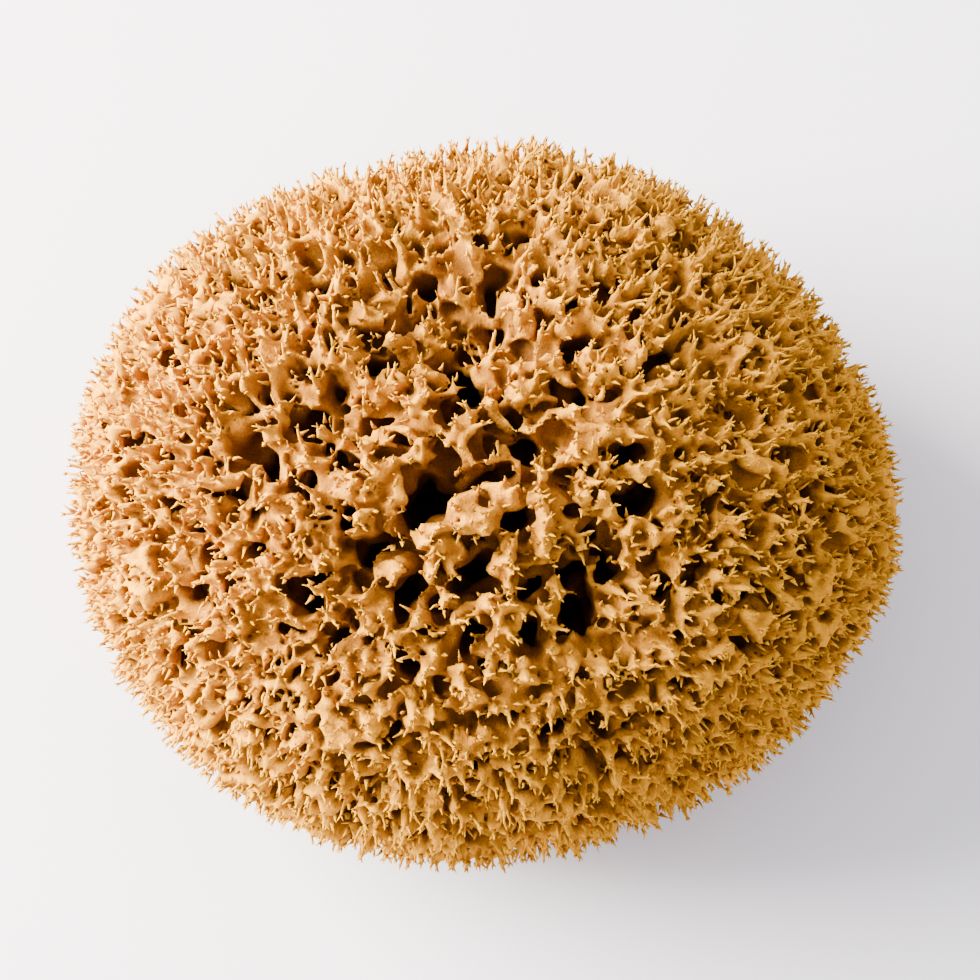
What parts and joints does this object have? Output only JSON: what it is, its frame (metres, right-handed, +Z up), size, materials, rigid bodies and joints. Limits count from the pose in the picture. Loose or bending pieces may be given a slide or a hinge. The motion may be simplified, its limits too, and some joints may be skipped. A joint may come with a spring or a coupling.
{
  "type": "sea sponge",
  "caption": "Natural bath sponge, cushion-shaped, with a skin of pointed fibre tufts round canal mouths, deep round holes above and a flat cut foot.",
  "frame": {"origin": "under the middle of the sponge's outline, on the flat cut that it rests on", "axes": "+Z up out of the cut, +X along the sponge's length, +Y along its breadth, away from the viewer of the picture"},
  "size_m": [0.1416, 0.1268, 0.0776],
  "materials": {
    "sponge_fibre": "matt dried fibre, golden tan, paler at the tips and brown in the holes"
  },
  "bodies": {
    "root": {"sea_sponge": "sponge_fibre"}
  },
  "joints": []
}
